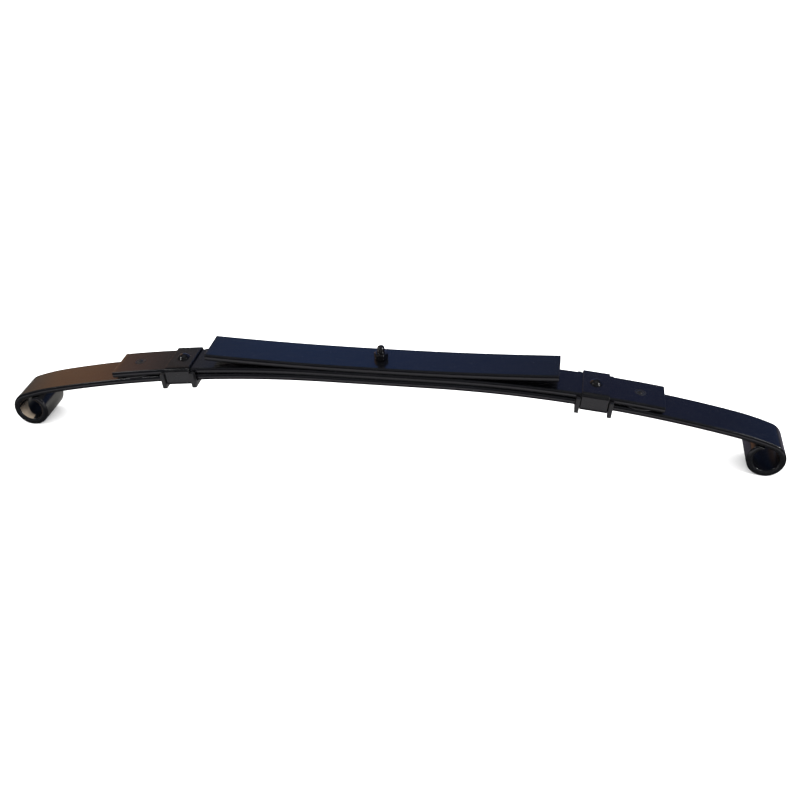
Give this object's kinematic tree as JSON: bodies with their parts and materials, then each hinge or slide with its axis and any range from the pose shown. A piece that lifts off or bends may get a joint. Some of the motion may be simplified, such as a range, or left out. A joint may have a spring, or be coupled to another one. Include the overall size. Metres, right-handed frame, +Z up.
{
  "type": "leaf spring",
  "caption": "Semi-elliptic leaf spring with a stack of glossy black leaves, rolled eyes, rebound clips, tip pads and a centre bolt.",
  "frame": {"origin": "under the centre bolt, on the plane that the two eyes stand on, halfway across the leaves", "axes": "+X along the spring towards its right eye, +Y across the leaves, +Z up through the centre bolt from the main leaf to the top leaf"},
  "size_m": [0.8348, 0.0572, 0.1148],
  "materials": {
    "leaf_paint": "glossy black paint over rolled spring steel",
    "clip_paint": "glossy black paint over bent steel strap and rivets",
    "bolt_paint": "glossy black paint over a steel bolt and nut",
    "liner_plastic": "satin black moulded nylon with overspray",
    "pad_plastic": "satin black moulded plastic with overspray"
  },
  "bodies": {
    "centre": {"top_leaf": "leaf_paint", "second_leaf_centre": "leaf_paint", "main_leaf_centre": "leaf_paint", "centre_bolt": "bolt_paint", "centre_nut": "bolt_paint"},
    "main_arm_left": {"main_leaf_left": "leaf_paint"},
    "main_arm_right": {"main_leaf_right": "leaf_paint"},
    "second_arm_left": {"second_leaf_left": "leaf_paint", "clip_strap_left": "clip_paint", "clip_liner_left": "liner_plastic", "clip_rivet_left": "clip_paint", "tip_pad_left": "pad_plastic"},
    "second_arm_right": {"second_leaf_right": "leaf_paint", "clip_strap_right": "clip_paint", "clip_liner_right": "liner_plastic", "clip_rivet_right": "clip_paint", "tip_pad_right": "pad_plastic"}
  },
  "joints": [
    {"name": "main_flex_left", "type": "hinge", "parent": "centre", "child": "main_arm_left", "pos_m": [-0.11, 0, 0.0812], "axis": [0, 1, 0], "range_deg": [0, 6.2], "stiffness_Nm_per_rad": 2000},
    {"name": "second_flex_left", "type": "hinge", "parent": "centre", "child": "second_arm_left", "pos_m": [-0.11, 0, 0.08824], "axis": [0, 1, 0], "range_deg": [0, 6.2]},
    {"name": "main_flex_right", "type": "hinge", "parent": "centre", "child": "main_arm_right", "pos_m": [0.11, 0, 0.0812], "axis": [0, -1, 0], "range_deg": [0, 6.2], "stiffness_Nm_per_rad": 2000},
    {"name": "second_flex_right", "type": "hinge", "parent": "centre", "child": "second_arm_right", "pos_m": [0.11, 0, 0.08824], "axis": [0, -1, 0], "range_deg": [0, 6.2]}
  ],
  "couplings": [
    {"joint": "second_flex_left", "follows": "main_flex_left", "ratio": 1},
    {"joint": "second_flex_right", "follows": "main_flex_right", "ratio": 1}
  ]
}
